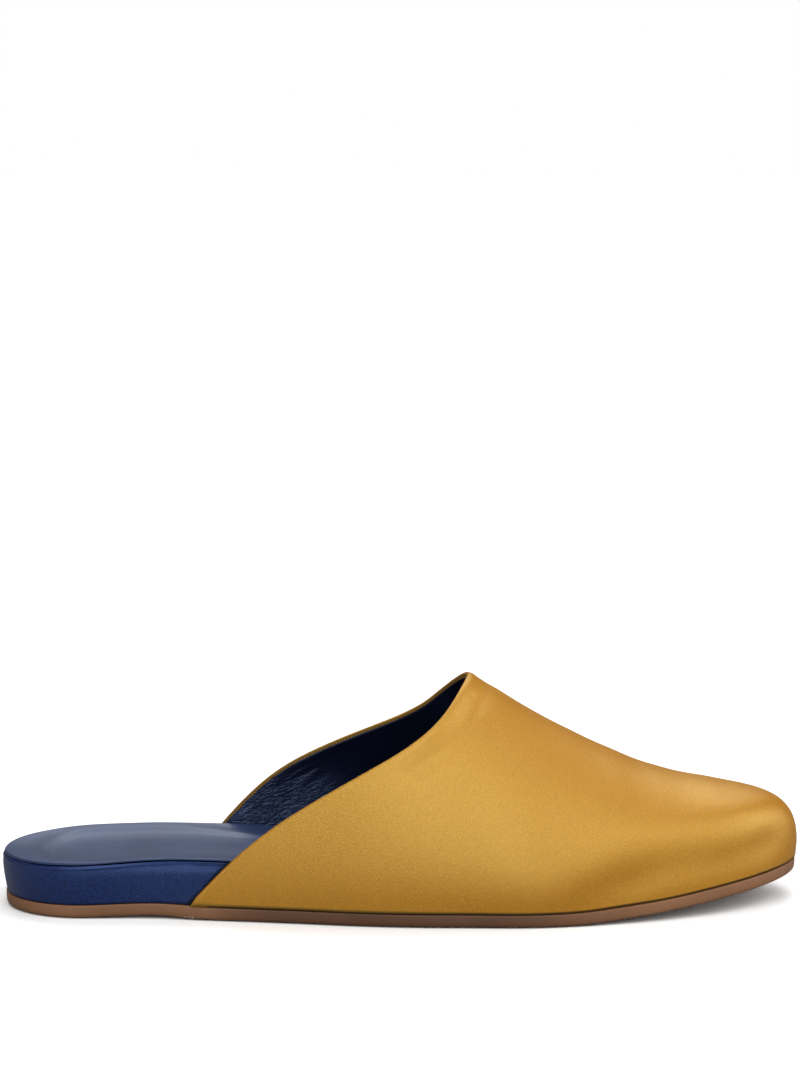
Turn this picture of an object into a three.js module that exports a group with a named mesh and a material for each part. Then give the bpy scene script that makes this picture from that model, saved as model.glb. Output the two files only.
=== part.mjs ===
// A babouche slipper for the right foot: an open-heeled mule with a low flat sole. The outsole carries a
// thick footbed whose side shows at the heel, a thin insole lies on the footbed, and the upper wraps the
// front half. Sizes are in millimetres. X runs from heel to toe, Y to the inner side of the foot, Z up.
import * as THREE from "three";
import { mergeVertices } from "three/addons/utils/BufferGeometryUtils.js";

// Driving dimensions
const footbedLength = 276;
const ballWidth = 93;
const heelWidth = 64;
const instepHeight = 79.5; // floor to the top of the throat
const toeHeight = 39.7; // floor to the top of the toe box
const toeSpring = 9;
const toePoint = 4; // how far the toe's tip turns to the inner side
const outsoleThickness = 4.6;
const outsoleEdgeRadius = 1.6;
const heelSeatHeight = 16.5; // floor to the middle of the insole at the heel
const ballSeatHeight = 9.6; // floor to the insole under the ball of the foot
const heelCup = 2.6; // how much the insole's rim stands above its middle
const footbedLean = 1.6; // how much the heel's wall leans out at its top
const footbedEdgeRadius = 1.6;
const bellyOut = 0.7; // share of the lean that the wall already has at half its height
const insoleThickness = 0.9;
const insoleEdgeRadius = 0.4;
const insoleInset = 1.0; // from the footbed's wall to the insole's edge
const upperWall = 2.2;
const sideBulge = 5.5; // how far the upper's sides swell out over the sole
const collarCrown = 0.8; // how far the collar's rounded edge stands proud
const throatAt = 163; // from the heel to the front of the collar, on the crest
const outerWingAt = 66; // from the heel to the upper's back end, on the outer side
const innerWingAt = 64;
const stepBefore = 7; // the outsole widens from so far behind the upper's back end
const stepAfter = 4; // to so far in front of it
const leanStraight = 26; // from the heel, the length over which the footbed's wall leans out fully
const heelCapLength = 29;
const toeCapLength = 92;
const instepOffset = 5; // how far the crest lies to the inner side
const crestTilt = 0.22; // how much flatter the instep's top runs inwards than outwards, as a share
const archLift = 0.9; // how far the outsole leaves the floor in front of the heel
const glueGap = 0.3; // between pieces that touch

// Numbers of divisions
const lengthSteps = 40;
const heightSteps = 22;
const cuppedSteps = 10; // across a cupped face
const levelSteps = 2; // across a face that is level from side to side

// The bottom of the last, seen from above. Along is a share of the footbed's length, centre a share of the
// ball's width, and each half width is so much of the heel's and so much of the ball's.
const planRows = [
  { along: 0.0, centre: -0.018, ofHeel: 0.99, ofBall: 0.0 },
  { along: 0.12, centre: -0.004, ofHeel: 1.0, ofBall: 0.0 },
  { along: 0.24, centre: -0.026, ofHeel: 0.77, ofBall: 0.14 },
  { along: 0.36, centre: -0.036, ofHeel: 0.43, ofBall: 0.46 },
  { along: 0.48, centre: -0.033, ofHeel: 0.15, ofBall: 0.79 },
  { along: 0.6, centre: -0.016, ofHeel: 0.01, ofBall: 0.957 },
  { along: 0.68, centre: -0.005, ofHeel: 0.0, ofBall: 1.0 },
  { along: 0.8, centre: 0.02, ofHeel: 0.0, ofBall: 1.0 },
  { along: 1.0, centre: 0.03, ofHeel: 0.0, ofBall: 0.98 },
];

// The floor side of the outsole. Arch and spring are shares of the arch's lift and the toe's spring.
const bottomRows = [
  { along: 0.0, arch: 0.0, spring: 0.0 },
  { along: 0.1, arch: 0.0, spring: 0.0 },
  { along: 0.13, arch: 0.4, spring: 0.0 },
  { along: 0.16, arch: 0.62, spring: 0.0 },
  { along: 0.195, arch: 1.0, spring: 0.0 },
  { along: 0.254, arch: 0.0, spring: 0.0 },
  { along: 0.5, arch: 0.0, spring: 0.0 },
  { along: 0.69, arch: 0.0, spring: 0.0 },
  { along: 0.78, arch: 0.0, spring: 0.16 },
  { along: 0.88, arch: 0.0, spring: 0.5 },
  { along: 1.0, arch: 0.0, spring: 1.0 },
];

// The insole's middle line: shares of the heel seat's height, the ball seat's height and the toe's spring.
const seatRows = [
  { along: 0.0, ofHeel: 1.0, ofBall: 0.0, spring: 0.0, cup: 1.0 },
  { along: 0.12, ofHeel: 1.03, ofBall: 0.0, spring: 0.0, cup: 1.2 },
  { along: 0.24, ofHeel: 1.14, ofBall: 0.0, spring: 0.0, cup: 1.15 },
  { along: 0.36, ofHeel: 1.02, ofBall: 0.05, spring: 0.0, cup: 0.8 },
  { along: 0.52, ofHeel: 0.35, ofBall: 0.65, spring: 0.0, cup: 0.35 },
  { along: 0.66, ofHeel: 0.0, ofBall: 1.0, spring: 0.0, cup: 0.1 },
  { along: 0.78, ofHeel: 0.0, ofBall: 1.0, spring: 0.16, cup: 0.1 },
  { along: 0.88, ofHeel: 0.0, ofBall: 1.0, spring: 0.5, cup: 0.1 },
  { along: 1.0, ofHeel: 0.0, ofBall: 1.0, spring: 1.0, cup: 0.1 },
];

// The crest of the last and the fullness of its sections. Rise is a share of what the instep stands above
// the toe. Low and high say how far the side runs up, and the top runs across, before they bend to meet.
// Bulge is a share of the side's bulge.
const sectionRows = [
  { along: 0.2, rise: 1.75, low: 0.42, high: 0.4, bulge: 0.73 },
  { along: 0.4, rise: 1.47, low: 0.44, high: 0.41, bulge: 0.9 },
  { along: 0.5, rise: 1.28, low: 0.47, high: 0.43, bulge: 1.0 },
  { along: 0.59, rise: 1.0, low: 0.49, high: 0.45, bulge: 1.0 },
  { along: 0.63, rise: 0.83, low: 0.5, high: 0.46, bulge: 1.0 },
  { along: 0.67, rise: 0.655, low: 0.5, high: 0.47, bulge: 0.95 },
  { along: 0.72, rise: 0.472, low: 0.51, high: 0.49, bulge: 0.9 },
  { along: 0.77, rise: 0.308, low: 0.53, high: 0.52, bulge: 0.82 },
  { along: 0.83, rise: 0.144, low: 0.56, high: 0.55, bulge: 0.73 },
  { along: 0.896, rise: 0.041, low: 0.61, high: 0.58, bulge: 0.64 },
  { along: 0.935, rise: -0.01, low: 0.67, high: 0.61, bulge: 0.6 },
  { along: 1.0, rise: -0.1, low: 0.73, high: 0.65, bulge: 0.62 },
];

// The collar from the sole up to the crest. Climb is the place on the half section, from 0 at the sole to 1
// on the crest. Outer and inner are shares of the way from the wing's back end to the throat.
const collarRows = [
  { climb: 0.0, outer: 0.0, inner: 0.0 },
  { climb: 0.1, outer: 0.125, inner: 0.095 },
  { climb: 0.2, outer: 0.277, inner: 0.22 },
  { climb: 0.3, outer: 0.47, inner: 0.383 },
  { climb: 0.4, outer: 0.665, inner: 0.635 },
  { climb: 0.5, outer: 0.806, inner: 0.808 },
  { climb: 0.6, outer: 0.89, inner: 0.887 },
  { climb: 0.7, outer: 0.938, inner: 0.937 },
  { climb: 0.8, outer: 0.97, inner: 0.971 },
  { climb: 0.9, outer: 0.991, inner: 0.992 },
  { climb: 0.96, outer: 0.998, inner: 0.998 },
  { climb: 1.0, outer: 1.0, inner: 1.0 },
];

// Shares of the footbed's length: where the toe starts to turn inwards, where the upper's sections start to
// fan round the toe, and the crest's point that they turn about
const toeTurnsAt = 0.6;
const fanStart = 0.74;
const poleAt = 0.935;

// The middle of a quarter round, as a share of its radius
const roundMiddle = 1 - Math.SQRT1_2;

// A smooth curve through one column of a table, with matched slopes. It is level where the column turns or
// stays the same.
function curveThrough(rows, key, place = "along") {
  const at = rows.map((row) => row[place]);
  const value = rows.map((row) => row[key]);
  const last = rows.length - 1;
  const slope = value.map((_, i) => {
    const before = Math.max(i - 1, 0);
    const after = Math.min(i + 1, last);
    const turns = i > 0 && i < last && (value[i] - value[before]) * (value[after] - value[i]) <= 0;
    return turns ? 0 : (value[after] - value[before]) / (at[after] - at[before]);
  });
  return (x) => {
    const clamped = THREE.MathUtils.clamp(x, at[0], at[last]);
    let i = 0;
    while (i < last - 1 && clamped > at[i + 1]) i += 1;
    const span = at[i + 1] - at[i];
    const t = (clamped - at[i]) / span;
    const start = value[i] + t * span * slope[i];
    const end = value[i + 1] - (1 - t) * span * slope[i + 1];
    const ease = t * t * (3 - 2 * t);
    return start + (end - start) * ease;
  };
}

const planCentre = curveThrough(planRows, "centre");
const planOfHeel = curveThrough(planRows, "ofHeel");
const planOfBall = curveThrough(planRows, "ofBall");
const bottomArch = curveThrough(bottomRows, "arch");
const bottomSpring = curveThrough(bottomRows, "spring");
const seatOfHeel = curveThrough(seatRows, "ofHeel");
const seatOfBall = curveThrough(seatRows, "ofBall");
const seatSpring = curveThrough(seatRows, "spring");
const seatCup = curveThrough(seatRows, "cup");
const crestRise = curveThrough(sectionRows, "rise");
const sectionLow = curveThrough(sectionRows, "low");
const sectionHigh = curveThrough(sectionRows, "high");
const sectionBulge = curveThrough(sectionRows, "bulge");
const collarOuter = curveThrough(collarRows, "outer", "climb");
const collarInner = curveThrough(collarRows, "inner", "climb");

// How far a station lies into the round end at the heel or the toe: 0 along the middle, 1 at the tips
function capWay(x) {
  const heelWay = Math.max(0, 1 - x / heelCapLength);
  const toeWay = Math.max(0, 1 - (footbedLength - x) / toeCapLength);
  return Math.min(1, Math.hypot(heelWay, toeWay));
}

function planMiddle(x) {
  const along = x / footbedLength;
  return planCentre(along) * ballWidth + toePoint * THREE.MathUtils.smoothstep(along, toeTurnsAt, 1);
}

// Half the plan's width before its ends are rounded
function planHalf(x) {
  const along = x / footbedLength;
  return (planOfHeel(along) * heelWidth + planOfBall(along) * ballWidth) / 2;
}

// 0 on the plan's middle line and 1 all round its rim
function rimShare(x, y) {
  return Math.min(1, Math.hypot(capWay(x), (y - planMiddle(x)) / planHalf(x)));
}

// The turn runs from 0 at the heel's tip, along the outer side to 1 at the toe's tip, and back to 2
function stationOf(turn) {
  return (footbedLength * (1 - Math.cos(Math.PI * turn))) / 2;
}

function turnOf(x) {
  return Math.acos(1 - (2 * x) / footbedLength) / Math.PI;
}

function planPoint(turn) {
  const x = stationOf(turn);
  const half = planHalf(x) * Math.sqrt(1 - capWay(x) ** 2);
  const side = turn < 1 ? -1 : 1;
  return new THREE.Vector2(x, planMiddle(x) + side * half);
}

// A point of the plan, moved outwards by so many millimetres
function planOffset(turn, offset) {
  const step = 1e-3;
  const run = planPoint((turn + step) % 2).sub(planPoint((turn + 2 - step) % 2));
  const outward = new THREE.Vector2(run.y, -run.x).normalize();
  return planPoint(turn).addScaledVector(outward, offset);
}

function outsoleBottom(x) {
  const along = x / footbedLength;
  return bottomArch(along) * archLift + bottomSpring(along) * toeSpring;
}

const outsoleTop = (x) => outsoleBottom(x) + outsoleThickness;
const upperBottom = (x) => outsoleTop(x) + glueGap;

// Height of the insole's top, which rises to the rim as a shallow cup
function insoleTop(x, y) {
  const along = x / footbedLength;
  const seat = seatOfHeel(along) * heelSeatHeight + seatOfBall(along) * ballSeatHeight;
  return seat + seatSpring(along) * toeSpring + seatCup(along) * heelCup * rimShare(x, y) ** 3;
}

// How far the footbed's wall leans out: fully at the heel and not at all inside the upper
function leanAt(x, wing) {
  return footbedLean * (1 - THREE.MathUtils.smoothstep(x, leanStraight, wing));
}

// Makes a closed mesh from rings of equal length. The first and the last are closed by caps, each given by
// its height at any place and its divisions across.
function meshFromRings(rings, capFirst, capLast) {
  const positions = [];
  const indices = [];
  const count = rings[0].length;
  rings.forEach((ring) => ring.forEach((p) => positions.push(p.x, p.y, p.z)));
  for (let r = 0; r < rings.length - 1; r += 1) {
    for (let i = 0; i < count; i += 1) {
      const a = r * count + i;
      const b = r * count + ((i + 1) % count);
      indices.push(a, b, b + count, a, b + count, a + count);
    }
  }
  addCap(positions, indices, rings[0], 0, capFirst, true);
  addCap(positions, indices, rings[rings.length - 1], (rings.length - 1) * count, capLast, false);
  return solidGeometry(positions, indices);
}

// Closes a ring with rows of points across it, from each outer point to the inner point of the same station.
// The points lie closer together near the rim, where a cupped face bends most.
function addCap(positions, indices, ring, first, { heightAt, steps }, reversed) {
  const count = ring.length;
  const half = count / 2;
  const rows = [];
  for (let i = 1; i < half; i += 1) {
    const outer = ring[i];
    const inner = ring[count - i];
    const row = [first + i];
    for (let k = 1; k < steps; k += 1) {
      const share = (1 - Math.cos((Math.PI * k) / steps)) / 2;
      const x = outer.x + (inner.x - outer.x) * share;
      const y = outer.y + (inner.y - outer.y) * share;
      row.push(positions.length / 3);
      positions.push(x, y, heightAt(x, y));
    }
    row.push(first + count - i);
    rows.push(row);
  }
  const face = (a, b, c) => (reversed ? indices.push(a, c, b) : indices.push(a, b, c));
  for (let k = 0; k < steps; k += 1) {
    face(first, rows[0][k], rows[0][k + 1]);
    face(first + half, rows[half - 2][k + 1], rows[half - 2][k]);
    for (let r = 0; r < half - 2; r += 1) {
      face(rows[r][k], rows[r + 1][k], rows[r + 1][k + 1]);
      face(rows[r][k], rows[r + 1][k + 1], rows[r][k + 1]);
    }
  }
}

function solidGeometry(positions, indices) {
  const geometry = new THREE.BufferGeometry();
  geometry.setAttribute("position", new THREE.Float32BufferAttribute(positions, 3));
  geometry.setIndex(indices);
  const merged = mergeVertices(geometry, 1e-3);
  merged.computeVertexNormals();
  return merged;
}

// One ring round the plan. Its offset depends on the station and on where the upper ends on that side.
function ringAt(offsetAt, heightAt) {
  const ring = [];
  for (let i = 0; i < 2 * lengthSteps; i += 1) {
    const turn = i / lengthSteps;
    const wing = turn < 1 ? outerWingAt : innerWingAt;
    const p = planOffset(turn, offsetAt(stationOf(turn), wing));
    ring.push(new THREE.Vector3(p.x, p.y, heightAt(p.x, p.y)));
  }
  return ring;
}

// The outsole is as wide as the footbed's foot at the heel and steps out to carry the upper
function outsoleOffset(x, wing) {
  const step = THREE.MathUtils.smoothstep(x, wing - stepBefore, wing + stepAfter);
  return glueGap + step * upperWall;
}

function outsoleGeometry() {
  const r = outsoleEdgeRadius;
  const rings = [
    ringAt((x, wing) => outsoleOffset(x, wing) - r, outsoleBottom),
    ringAt((x, wing) => outsoleOffset(x, wing) - r * roundMiddle, (x) => outsoleBottom(x) + r * roundMiddle),
    ringAt(outsoleOffset, (x) => outsoleBottom(x) + r),
    ringAt(outsoleOffset, outsoleTop),
  ];
  const underside = { heightAt: outsoleBottom, steps: levelSteps };
  return meshFromRings(rings, underside, { heightAt: outsoleTop, steps: levelSteps });
}

// The footbed's top lies one glue gap under the insole
function footbedTop(x, y) {
  return insoleTop(x, y) - insoleThickness - glueGap;
}

function footbedGeometry() {
  const r = footbedEdgeRadius;
  const foot = (x) => outsoleTop(x) + glueGap;
  const belowRound = (x, y) => footbedTop(x, y) - r;
  const rings = [
    ringAt(() => 0, foot),
    ringAt((x, wing) => leanAt(x, wing) * bellyOut, (x, y) => (foot(x) + belowRound(x, y)) / 2),
    ringAt(leanAt, belowRound),
    ringAt((x, wing) => leanAt(x, wing) - r * roundMiddle, (x, y) => footbedTop(x, y) - r * roundMiddle),
    ringAt((x, wing) => leanAt(x, wing) - r, footbedTop),
  ];
  const underside = { heightAt: foot, steps: levelSteps };
  return meshFromRings(rings, underside, { heightAt: footbedTop, steps: cuppedSteps });
}

function insoleGeometry() {
  const edge = (x, wing) => leanAt(x, wing) - insoleInset;
  const insoleUnderside = (x, y) => insoleTop(x, y) - insoleThickness;
  const rings = [
    ringAt(edge, insoleUnderside),
    ringAt(edge, (x, y) => insoleTop(x, y) - insoleEdgeRadius),
    ringAt((x, wing) => edge(x, wing) - insoleEdgeRadius, insoleTop),
  ];
  const underside = { heightAt: insoleUnderside, steps: cuppedSteps };
  return meshFromRings(rings, underside, { heightAt: insoleTop, steps: cuppedSteps });
}

// The crest's point that a section of this station runs up to
function crestPoint(x) {
  const start = fanStart * footbedLength;
  const pole = poleAt * footbedLength;
  let reach = x;
  if (x > start) {
    const way = (x - start) / (footbedLength - start);
    const squeeze = (footbedLength - start) / (pole - start);
    reach = start + (pole - start) * (1 - (1 - way) ** squeeze);
  }
  return new THREE.Vector3(reach, instepOffset, crestHeight(reach));
}

function crestHeight(x) {
  return toeHeight + crestRise(x / footbedLength) * (instepHeight - toeHeight);
}

// A point of the upper's outer face, on the half section of this turn
function upperPoint(turn, climb) {
  const x = stationOf(turn);
  const along = x / footbedLength;
  const foot = planOffset(turn, glueGap + upperWall);
  const crest = crestPoint(x);
  const bottom = upperBottom(foot.x);
  const height = crest.z - bottom;
  const reach = Math.hypot(crest.x - foot.x, crest.y - foot.y);
  const step = footbedLength / 500;
  const climbRate = (crestHeight(crest.x + step) - crestHeight(crest.x - step)) / (2 * step);
  const slope = climbRate * (crest.x - foot.x);
  const tilt = crestTilt * (1 - THREE.MathUtils.smoothstep(along, toeTurnsAt, poleAt));
  const high = sectionHigh(along) * (turn < 1 ? 1 - tilt : 1 + tilt);
  const section = new THREE.CubicBezierCurve(
    new THREE.Vector2(0, bottom),
    new THREE.Vector2((-sideBulge * sectionBulge(along)) / reach, bottom + sectionLow(along) * height),
    new THREE.Vector2(1 - high, crest.z - high * slope),
    new THREE.Vector2(1, crest.z),
  );
  const p = section.getPoint(climb);
  return new THREE.Vector3(foot.x + (crest.x - foot.x) * p.x, foot.y + (crest.y - foot.y) * p.x, p.y);
}

// The outer face as a grid. Columns run from the outer wing round the toe to the inner wing, rows from the
// sole up to the crest.
function upperGrid() {
  const grid = [];
  for (let c = 0; c <= 2 * lengthSteps; c += 1) {
    const outerSide = c <= lengthSteps;
    const way = outerSide ? c / lengthSteps : (2 * lengthSteps - c) / lengthSteps;
    const wing = outerSide ? outerWingAt : innerWingAt;
    const collar = outerSide ? collarOuter : collarInner;
    const column = [];
    for (let r = 0; r <= heightSteps; r += 1) {
      const climb = r / heightSteps;
      const start = turnOf(wing + (throatAt - wing) * collar(climb));
      const turn = start + (1 - start) * way;
      column.push(upperPoint(outerSide ? turn : 2 - turn, climb));
    }
    grid.push(column);
  }
  return grid;
}

function upperGeometry() {
  const outer = upperGrid();
  const columns = outer.length;
  const rows = heightSteps + 1;
  const face = new THREE.BufferGeometry();
  const facePositions = outer.flat().flatMap((p) => p.toArray());
  face.setAttribute("position", new THREE.Float32BufferAttribute(facePositions, 3));
  const quads = [];
  for (let c = 0; c < columns - 1; c += 1) {
    for (let r = 0; r < rows - 1; r += 1) {
      const a = c * rows + r;
      quads.push([a, a + rows, a + rows + 1, a + 1]);
    }
  }
  face.setIndex(quads.flatMap(([a, b, c, d]) => [a, b, c, a, c, d]));
  const normals = crestNormals(face, columns, rows);
  const inner = outer.map((column, c) =>
    column.map((p, r) => {
      const q = p.clone().addScaledVector(normals[c * rows + r], -upperWall);
      if (r === 0) q.z = p.z;
      return q;
    }),
  );
  const positions = [...outer.flat(), ...inner.flat()].flatMap((p) => p.toArray());
  const count = columns * rows;
  const indices = [];
  const quad = (a, b, c, d) => indices.push(a, b, c, a, c, d);
  quads.forEach(([a, b, c, d]) => {
    quad(a, b, c, d);
    quad(a + count, d + count, c + count, b + count);
  });
  for (let c = 0; c < columns - 1; c += 1) {
    const a = c * rows;
    quad(a, a + count, a + rows + count, a + rows);
  }
  addCollarEdge(positions, indices, outer, inner, 0, 1, false);
  addCollarEdge(positions, indices, outer, inner, columns - 1, columns - 2, true);
  return solidGeometry(positions, indices);
}

// Smooth normals of the outer face, with the two halves joined along the crest
function crestNormals(face, columns, rows) {
  face.computeVertexNormals();
  const attribute = face.getAttribute("normal");
  const normals = [];
  for (let i = 0; i < attribute.count; i += 1) {
    normals.push(new THREE.Vector3().fromBufferAttribute(attribute, i));
  }
  for (let c = 0; c < (columns - 1) / 2; c += 1) {
    const a = normals[c * rows + rows - 1];
    const b = normals[(columns - 1 - c) * rows + rows - 1];
    a.add(b).normalize();
    b.copy(a);
  }
  return normals;
}

// The collar's edge is rounded: one more row of points stands proud between the outer and the inner face
function addCollarEdge(positions, indices, outer, inner, edge, next, reversed) {
  const rows = outer[0].length;
  const count = outer.length * rows;
  const first = positions.length / 3;
  for (let r = 0; r < rows; r += 1) {
    const back = outer[edge][r].clone().sub(outer[next][r]).normalize();
    const middle = outer[edge][r].clone().add(inner[edge][r]).multiplyScalar(0.5);
    if (r > 0) middle.addScaledVector(back, collarCrown);
    positions.push(middle.x, middle.y, middle.z);
  }
  const quad = (a, b, c, d) => (reversed ? indices.push(a, d, c, a, c, b) : indices.push(a, b, c, a, c, d));
  for (let r = 0; r < rows - 1; r += 1) {
    const a = edge * rows + r;
    quad(a, a + 1, first + r + 1, first + r);
    quad(first + r, first + r + 1, a + 1 + count, a + count);
  }
  const bottom = edge * rows;
  if (reversed) indices.push(bottom, bottom + count, first);
  else indices.push(bottom, first, bottom + count);
}

function piece(name, geometry, colour, roughness) {
  const material = new THREE.MeshStandardMaterial({ color: colour, roughness, metalness: 0 });
  const mesh = new THREE.Mesh(geometry, material);
  mesh.name = name;
  return mesh;
}

const shoe = new THREE.Group();
shoe.add(piece("outsole", outsoleGeometry(), 0x8a6242, 0.6));
shoe.add(piece("footbed", footbedGeometry(), 0x1b3170, 0.45));
shoe.add(piece("insole", insoleGeometry(), 0x3d4b66, 0.4));
shoe.add(piece("upper", upperGeometry(), 0xb98a2e, 0.5));

// The origin is under the middle of the whole shoe, on the floor
const box = new THREE.Box3().setFromObject(shoe);
shoe.position.set(-(box.min.x + box.max.x) / 2, -(box.min.y + box.max.y) / 2, -box.min.z);

const slipper = new THREE.Group();
slipper.add(shoe);

export default slipper;
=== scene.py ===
"""A right babouche slipper in gold satin over a navy lining, on a covered footbed and a thin leather sole.

Sizes are in millimetres and are turned into metres by MM. +X runs from heel to toe, -Y is the outer side
that the photo shows, and the slipper stands on Z = 0.
"""

import math

import bmesh
import bpy
from mathutils import Matrix, Vector, kdtree, noise
from mathutils.geometry import intersect_point_line


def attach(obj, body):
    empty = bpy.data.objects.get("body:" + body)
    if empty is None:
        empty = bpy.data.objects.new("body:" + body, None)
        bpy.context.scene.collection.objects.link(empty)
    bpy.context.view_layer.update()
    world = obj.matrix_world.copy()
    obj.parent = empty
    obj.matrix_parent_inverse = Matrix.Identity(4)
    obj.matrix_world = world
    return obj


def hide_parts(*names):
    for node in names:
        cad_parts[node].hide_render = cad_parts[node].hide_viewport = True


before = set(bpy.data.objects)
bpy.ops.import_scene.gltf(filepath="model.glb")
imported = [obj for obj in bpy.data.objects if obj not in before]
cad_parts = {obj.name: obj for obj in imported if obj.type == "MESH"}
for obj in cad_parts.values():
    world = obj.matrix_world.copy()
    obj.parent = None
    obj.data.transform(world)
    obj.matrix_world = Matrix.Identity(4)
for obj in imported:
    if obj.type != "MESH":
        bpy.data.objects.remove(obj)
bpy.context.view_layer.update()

MM = 0.001

# The photo's camera, fitted to the slipper's outline
CAMERA_AZIMUTH = -0.74
CAMERA_ELEVATION = 7.28
CAMERA_TARGET = Vector((-0.46, 0.0, 129.5)) * MM
CAMERA_DISTANCE = 1300 * MM
CAMERA_NEAR = 10 * MM
CAMERA_FAR = 50000 * MM
CAMERA_FOCAL_SHARE = 3726 / 1067
SENSOR = 36.0

# The studio's light: the world's strength in front and behind, over which of its directions, in Y and in
# Z, it turns and goes dark, what the floor throws back, and how bright the camera sees it
WORLD_FRONT = 0.56
WORLD_BEHIND = 0.12
WORLD_TURN = (-0.4, 0.4)
WORLD_TOP = (0.35, 0.75)
FLOOR_BOUNCE = 0.28
FLOOR_SEEN = 1.3
FLOOR_HALF = 8000 * MM

# Broad lights: azimuth from the camera's side towards the toe, elevation, spread and strength
BROAD_LIGHTS = {
    "front_light": (0, 22, 50, 0.7),
    "key_light": (6, 64, 56, 1.32),
    "back_light": (180, 50, 46, 1.2),
    "toe_light": (94, 30, 50, 1.15),
}

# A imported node's mesh: how near its points are merged, and how its triangles are joined to quads
MERGE_DISTANCE = 0.001 * MM
JOIN_FACE_ANGLE = 60
JOIN_SHAPE_ANGLE = 80
JOIN_TOPOLOGY = 1.5

# Angles in degrees past which an edge is a sharp one
SKIN_EDGE_ANGLE = 35
BEVEL_ANGLE = 40
SOLE_EDGE_ANGLE = 50
COVER_EDGE_ANGLE = 60

# How often each form is subdivided
SKIN_LEVELS = 2
SOLE_LEVELS = 2
COVER_LEVELS = 3

# Where the rows of the toe meet on the crest, and how far round it they are drawn together
TOE_POLE = Vector((119.3, 4.8, 39.3)) * MM
TOE_POLE_REACH = 1.6

# How the upper is cut and turned
SATIN_THICKNESS = 0.5
WALL_TO_HEM = 1.9
WALL_TO_LINING = 2.25
COLLAR_CROWN = 0.75
HEM_WIDTH = 0.65
HEM_SLIDE_REACH = 14.0
WING_TIP_REACH = 4.0
SOLE_TUCK = 0.75
SOLE_TUCK_SPARED = 0.1
SOLE_ROLL = 1.9
SOLE_HEM = 0.4
LINING_THICKNESS = 0.7
LINING_FOLD = 0.32
LINING_HEM = 0.3
ROLL_STEPS = 6
COLLAR_CUTS = 2
COLLAR_EASE_STEPS = 14
COLLAR_EASE_REACH = 12.0

# How strongly the turned edge is darkened by painted shade: on the rim by the sole, and on the hem from this
# part of its turn
RIM_MARK = 0.8
HEM_MARK = 0.85
HEM_MARK_TURN = (0.36, 0.68)
HEM_MARK_REACH = 4.0

# The satin's soft forms: how high or deep, how far from the collar or the fold, and how wide
COLLAR_SWELL = 0.28
COLLAR_SWELL_PLACE = 1.4
COLLAR_SWELL_WIDTH = 1.5
COLLAR_DIP = 0.25
COLLAR_DIP_PLACE = 7.0
COLLAR_DIP_WIDTH = 3.0
THROAT_DIP = 0.6
THROAT_DIP_WIDTH = 3.6
TOE_FOLD_RISE = 0.95
TOE_RIDGE_ABOVE = 4.5
TOE_RIDGE_WIDTH = 12.0
TOE_FOLD_DROP = 2.2
TOE_HOLLOW_BELOW = 8.5
TOE_HOLLOW_WIDTH = 7.5
INNER_FOLD_DROP = 0.4
INNER_HOLLOW_BELOW = 4.0
INNER_HOLLOW_WIDTH = 6.0
SATIN_SWAY = 0.14
SATIN_SWAY_SPAN = 26.0

# Where these forms come in along X, and how the toe's fold fades round the tip
COLLAR_FORMS_START = (-16.0, 12.0)
TOE_FOLD_START = (44.0, 84.0)
TIP_START = (96.0, 112.0)
TIP_ACROSS = (-18.0, -2.0)
TIP_FADE = 0.85

# The lining's lengthwise creases: height, the level that counts as flat, size, slope, and how far and by
# which slice of the noise they wander
CREASE_HEIGHT = 0.55
CREASE_LEVEL = 0.6
CREASE_LENGTH = 9.0
CREASE_PITCH = 3.2
CREASE_SLOPE = 0.35
CREASE_WANDER = 0.7
CREASE_SLICE = 4.0
CREASES_END = (-30.0, 0.0)
CREASES_TOP = (36.0, 54.0)
LINING_SWAY = 0.15
LINING_SWAY_SPAN = 11.0

# Where the lining's leather stops being creased and getting painted light, towards the throat and upwards
CRUMPLING_AND_LIGHT_END = (-36.0, -4.0)
CRUMPLING_AND_LIGHT_TOP = (24.0, 44.0)

# The stitches that hold the lining to the hem
STITCH_PITCH = 1.15
STITCH_LENGTH = 0.85
STITCH_THREAD = 0.24
STITCH_LEAN = 0.25
STITCH_DEPTH = 0.12
STITCH_REACH = 0.45

# The footbed's cover: the swell and the gathers round its top edge, and the wall's unevenness
FOOTBED_PUFF = 0.25
GATHER = 0.16
GATHER_SPAN = 6.5
FINE_GATHER = 0.07
FINE_GATHER_SPAN = 2.6
FINE_GATHER_SLICE = 0.3
COVER_SWAY = 0.1
COVER_SWAY_SPAN = 17.0

# How far the cover's wall leans in below that edge, all along and further at the arch
COVER_LEAN = 0.18
ARCH_LEAN = 0.35
LEAN_DROP = 4.2
ARCH_START = (-108.0, -70.0)
ARCH_END = (-52.0, -30.0)

# How far a surface faces up, from 1 on top to 0 on a wall: where the top edge begins and ends, where the
# wall ends, and past which it counts as the top, as the seat and as more than the underside
EDGE_BEGINS = (0.05, 0.4)
EDGE_ENDS = (0.9, 0.985)
WALL_ENDS = (0.5, 0.9)
TOP_FACES = 0.9
SEAT_FACES = 0.2
UNDER_FACES = -0.5

# The painted shadow line along the wings on the footbed's cover, measured from the collar's sewn line. A wing
# on the
# other side counts as WING_LINE_CLEAR away.
WING_LINE = 1.5
WING_LINE_BLUR = 0.3
WING_LINE_CLEAR = 9.0
WING_LINE_NEIGHBOURS = 6

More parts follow.
